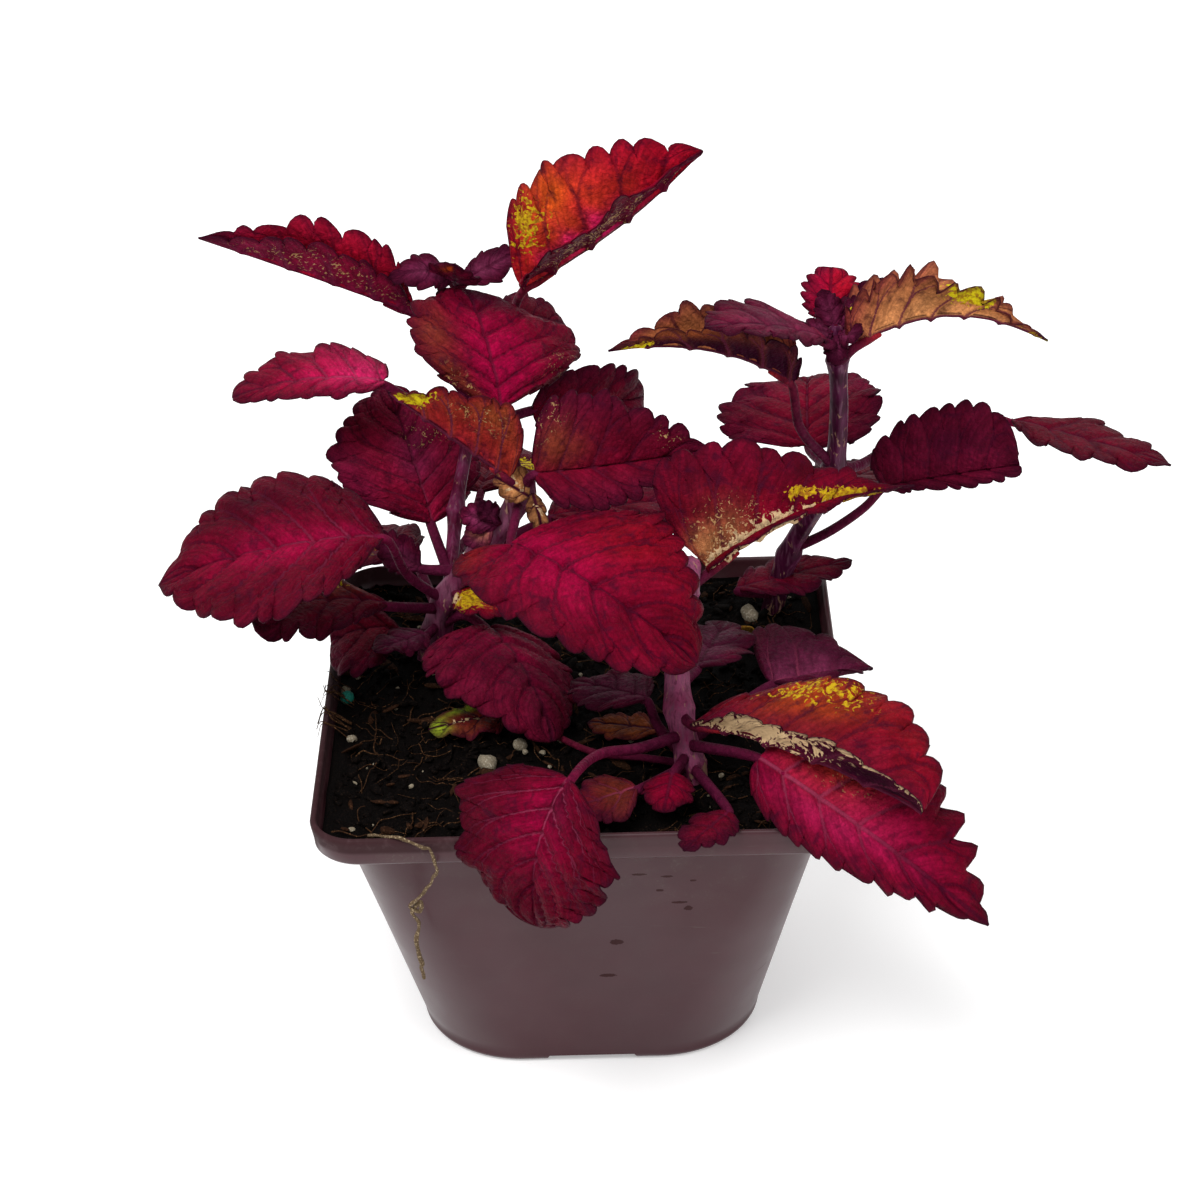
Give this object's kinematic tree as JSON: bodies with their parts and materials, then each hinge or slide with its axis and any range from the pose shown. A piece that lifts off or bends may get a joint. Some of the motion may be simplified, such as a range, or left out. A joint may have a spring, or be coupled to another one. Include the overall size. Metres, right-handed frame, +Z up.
{
  "type": "potted coleus plant",
  "caption": "Young coleus with lobed crimson and maroon leaves on leafy stems, standing in soil in a square tapered plastic nursery pot.",
  "frame": {"origin": "middle of the pot's underside, on the surface that it stands on", "axes": "+Z up along the pot's middle line, +X to the right along one side of the pot, -Y to the front, where the lowest leaf hangs over the rim"},
  "size_m": [0.2053, 0.1486, 0.1738],
  "materials": {
    "pot_plastic": "thin satin plastic, scuffed and dusted with soil",
    "soil": "damp dark peat with bark, fibres and perlite",
    "stem": "smooth purple skin with pale scars",
    "leaf_crimson": "soft satin, crimson with dark lobed rims",
    "leaf_maroon": "soft satin, maroon with dark lobed rims",
    "leaf_plum": "soft satin, dull plum",
    "leaf_ember": "soft satin, orange red with yellow-green patches",
    "leaf_bronze": "soft satin, tan and olive flecked with gold"
  },
  "bodies": {
    "root": {"pot": "pot_plastic", "soil": "soil", "stem_middle": "stem", "stem_front": "stem", "stem_right": "stem", "leaf_left_1": "leaf_maroon", "leaf_left_2": "leaf_ember", "leaf_left_3": "leaf_maroon", "leaf_left_4": "leaf_crimson", "leaf_left_5": "leaf_maroon", "leaf_left_6": "leaf_maroon", "leaf_middle_1": "leaf_bronze", "leaf_middle_2": "leaf_maroon", "leaf_middle_3": "leaf_crimson", "leaf_middle_4": "leaf_crimson", "leaf_middle_5": "leaf_maroon", "leaf_middle_6": "leaf_crimson", "leaf_middle_7": "leaf_maroon", "leaf_middle_8": "leaf_plum", "leaf_middle_9": "leaf_maroon", "leaf_middle_10": "leaf_crimson", "leaf_middle_11": "leaf_ember", "leaf_middle_12": "leaf_plum", "leaf_middle_13": "leaf_maroon", "leaf_middle_14": "leaf_maroon", "leaf_front_1": "leaf_ember", "leaf_front_2": "leaf_crimson", "leaf_front_3": "leaf_crimson", "leaf_front_4": "leaf_plum", "leaf_front_5": "leaf_maroon", "leaf_front_6": "leaf_crimson", "leaf_front_7": "leaf_maroon", "leaf_front_8": "leaf_bronze", "leaf_front_9": "leaf_ember", "leaf_front_10": "leaf_plum", "leaf_front_11": "leaf_bronze", "leaf_front_12": "leaf_plum", "leaf_right_1": "leaf_bronze", "leaf_right_2": "leaf_maroon", "leaf_right_3": "leaf_crimson", "leaf_right_4": "leaf_bronze", "leaf_right_5": "leaf_maroon", "leaf_right_6": "leaf_maroon", "leaf_right_7": "leaf_crimson", "leaf_right_8": "leaf_maroon", "leaf_right_9": "leaf_plum", "leaf_right_10": "leaf_maroon", "crown_left": "leaf_maroon"}
  },
  "joints": []
}
